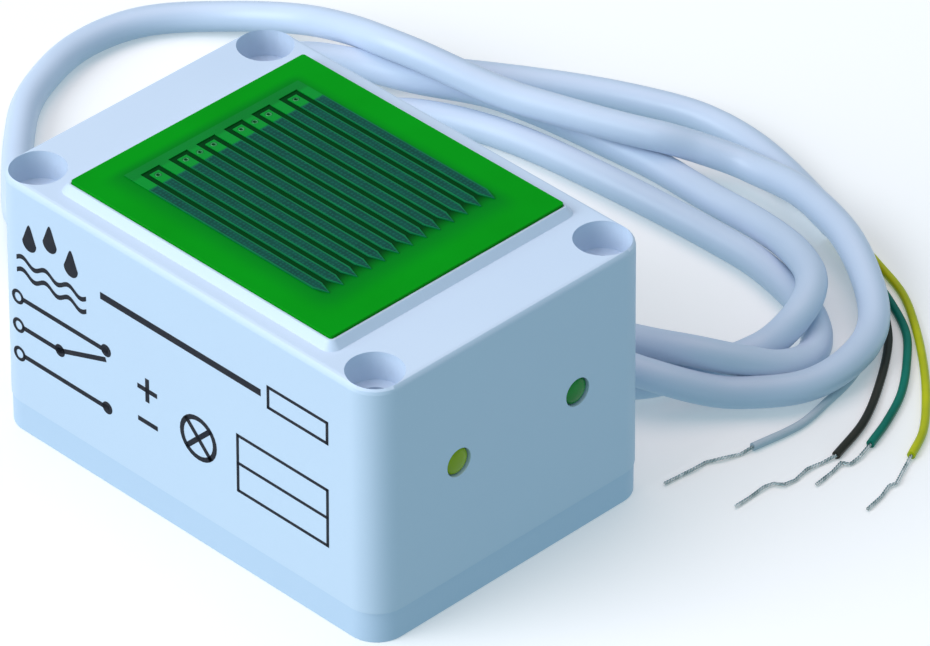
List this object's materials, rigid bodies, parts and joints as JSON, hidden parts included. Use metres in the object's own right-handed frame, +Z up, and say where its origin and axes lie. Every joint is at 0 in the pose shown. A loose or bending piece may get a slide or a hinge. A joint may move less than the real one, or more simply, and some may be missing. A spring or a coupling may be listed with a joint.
{
  "type": "rain sensor",
  "caption": "White box-shaped rain sensor with a green comb-electrode board on its raised top, two indicator lights, corner fixing wells and a loose four-wire cable",
  "frame": {"origin": "centre of the case's underside, on the surface that it stands on", "axes": "+X along the case's length towards the two indicator lights, +Y towards the cable's loops, +Z up out of the sensor board"},
  "size_m": [0.1535, 0.1172, 0.0417],
  "materials": {
    "white_plastic": "fine satin",
    "base_plastic": "fine satin",
    "seal_rubber": "matt",
    "screw_steel": "satin",
    "board_green": "semi-gloss lacquer",
    "strip_carbon": "printed, slightly woven",
    "track_green": "semi-gloss lacquer",
    "via_tin": "tinned",
    "adhesive": "matt",
    "black_plastic": "matt",
    "pin_brass": "plated",
    "main_board_green": "semi-gloss lacquer",
    "light_yellow": "clear, coloured",
    "light_green": "clear, coloured",
    "lead_tin": "tinned",
    "relay_blue": "gloss",
    "bobbin_plastic": "matt",
    "winding_copper": "lacquered copper wire",
    "relay_iron": "plated",
    "contact_metal": "bright",
    "capacitor_sleeve": "gloss sleeve",
    "resistor_coat": "lacquered",
    "grommet_rubber": "matt",
    "tie_nylon": "satin",
    "jacket_white": "smooth, semi-gloss",
    "wire_yellow": "smooth",
    "wire_green": "smooth",
    "wire_brown": "smooth",
    "wire_white": "smooth",
    "bare_tin": "tinned strands"
  },
  "bodies": {
    "case": {"housing": "white_plastic", "base_plate": "base_plastic", "case_seal": "seal_rubber", "base_screws": "screw_steel", "board_screws": "screw_steel", "sensor_board": "board_green", "sensor_strips": "strip_carbon", "sensor_tracks": "track_green", "sensor_vias": "via_tin", "board_adhesive": "adhesive", "heater_resistors": "black_plastic", "comparator_chip": "black_plastic", "regulator": "black_plastic", "transistor": "black_plastic", "diode": "black_plastic", "contact_strip": "black_plastic", "relay_base": "black_plastic", "contact_pins": "pin_brass", "main_board": "main_board_green", "led_yellow": "light_yellow", "led_green": "light_green", "led_leads": "lead_tin", "chip_legs": "lead_tin", "component_leads": "lead_tin", "relay_pins": "lead_tin", "relay_cover": "relay_blue", "relay_bobbin": "bobbin_plastic", "relay_coil": "winding_copper", "relay_core": "relay_iron", "relay_yoke": "relay_iron", "relay_contacts": "contact_metal", "capacitors": "capacitor_sleeve", "resistors": "resistor_coat", "cable_grommet": "grommet_rubber", "cable_tie": "tie_nylon", "cable_inner_end": "jacket_white", "cable_jacket": "jacket_white", "inner_lead_yellow": "wire_yellow", "wire_yellow": "wire_yellow", "inner_lead_green": "wire_green", "wire_green": "wire_green", "inner_lead_brown": "wire_brown", "wire_brown": "wire_brown", "inner_lead_white": "wire_white", "wire_white": "wire_white", "bare_ends": "bare_tin"},
    "armature": {"relay_armature": "relay_iron", "relay_contact_arm": "contact_metal"}
  },
  "joints": [
    {"name": "armature_hinge", "type": "hinge", "parent": "case", "child": "armature", "pos_m": [-0.0185, 0, 0.0311], "axis": [0, 1, 0], "range_deg": [0, 3.2], "stiffness_Nm_per_rad": 0.002, "springref_deg": -5.73}
  ]
}
